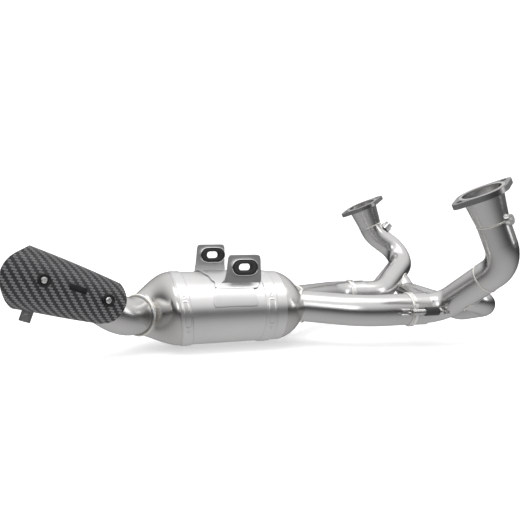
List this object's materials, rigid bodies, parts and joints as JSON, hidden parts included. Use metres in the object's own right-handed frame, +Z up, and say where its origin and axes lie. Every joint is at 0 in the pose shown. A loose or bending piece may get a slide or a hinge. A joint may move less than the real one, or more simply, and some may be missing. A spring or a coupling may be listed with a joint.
{
  "type": "motorcycle exhaust system",
  "caption": "Full racing exhaust for an opposed-cylinder motorcycle: headers with loose flanges, crossover, sprung slip joints, oval silencer with bush lugs, tail pipe under a carbon shield.",
  "frame": {"origin": "centre of the right port flange's face, where the system bolts to the engine", "axes": "+X forwards along the motorcycle, +Y to the rider's left, +Z up; the port faces lean back 24 degrees"},
  "size_m": [0.7985, 0.552, 0.2608],
  "materials": {
    "header_tube": "satin drawn tube, faint draw lines along its length",
    "bright_ring": "turned bright",
    "flange_plate": "machined, fine turning marks",
    "spring_steel": "bright drawn wire",
    "spring_rubber": "matt black silicone",
    "can_skin": "satin brushed sheet",
    "cone_skin": "satin pressed sheet",
    "core": "plain perforated sheet",
    "packing": "spun glass fibre",
    "bracket_sheet": "fine blasted sheet",
    "bush_rubber": "matt black rubber",
    "tail_tube": "satin drawn tube",
    "carbon": "twill carbon laminate under clear lacquer",
    "fastener": "bright stainless",
    "washer_black": "black anodised, dished",
    "plate_black": "gloss black plate, plain"
  },
  "bodies": {
    "headers": {"header_right": "header_tube", "header_left": "header_tube", "port_collar_right": "header_tube", "port_collar_left": "header_tube", "crossover_tube": "header_tube", "header_hook_right": "spring_steel", "header_hook_left": "spring_steel", "sensor_boss": "bright_ring", "sensor_plug": "fastener", "test_bung": "bright_ring"},
    "flange_right": {"port_flange_right": "flange_plate"},
    "flange_left": {"port_flange_left": "flange_plate"},
    "silencer": {"link_pipe_right": "header_tube", "link_pipe_left": "header_tube", "slip_ring_right": "bright_ring", "slip_ring_left": "bright_ring", "link_hook_right": "spring_steel", "link_hook_left": "spring_steel", "spring_right": "spring_steel", "spring_left": "spring_steel", "spring_cover_right": "spring_rubber", "spring_cover_left": "spring_rubber", "inlet_ring_right": "bright_ring", "inlet_ring_left": "bright_ring", "can_shell": "can_skin", "band_rear": "can_skin", "band_front": "can_skin", "front_cone": "cone_skin", "rear_cone": "cone_skin", "outlet_ring": "bright_ring", "baffle_front": "core", "baffle_rear": "core", "core_tube_right": "core", "core_tube_left": "core", "packing": "packing", "saddle": "bracket_sheet", "lug_right": "bracket_sheet", "lug_left": "bracket_sheet", "lug_collar_right": "bracket_sheet", "lug_collar_left": "bracket_sheet", "rubber_bush_right": "bush_rubber", "rubber_bush_left": "bush_rubber", "tail_pipe": "tail_tube", "heat_shield": "carbon", "shield_post": "fastener", "shield_arm": "bracket_sheet", "shield_washers": "washer_black", "shield_screws": "fastener", "name_plate": "plate_black"},
    "clamp": {"clamp_band": "fastener", "clamp_bolt": "fastener", "clamp_nut": "fastener"}
  },
  "joints": [
    {"name": "flange_right_turn", "type": "hinge", "parent": "headers", "child": "flange_right", "pos_m": [0, 0, 0], "axis": [-0.4067, 0, 0.9135], "continuous": true},
    {"name": "flange_left_turn", "type": "hinge", "parent": "headers", "child": "flange_left", "pos_m": [0.037, 0.476, -0.006], "axis": [-0.4067, 0, 0.9135], "continuous": true},
    {"name": "slip_travel", "type": "slide", "parent": "headers", "child": "silencer", "axis": [-1, 0, 0], "range_m": [0, 0.012], "stiffness_N_per_m": 9000, "springref_m": -0.003, "deforming": ["spring_right", "spring_left", "spring_cover_right", "spring_cover_left"]},
    {"name": "clamp_turn", "type": "hinge", "parent": "silencer", "child": "clamp", "pos_m": [-0.61791, 0.13829, -0.1289], "axis": [-0.9419, -0.0468, 0.3328], "range_deg": [-8, 8]}
  ]
}
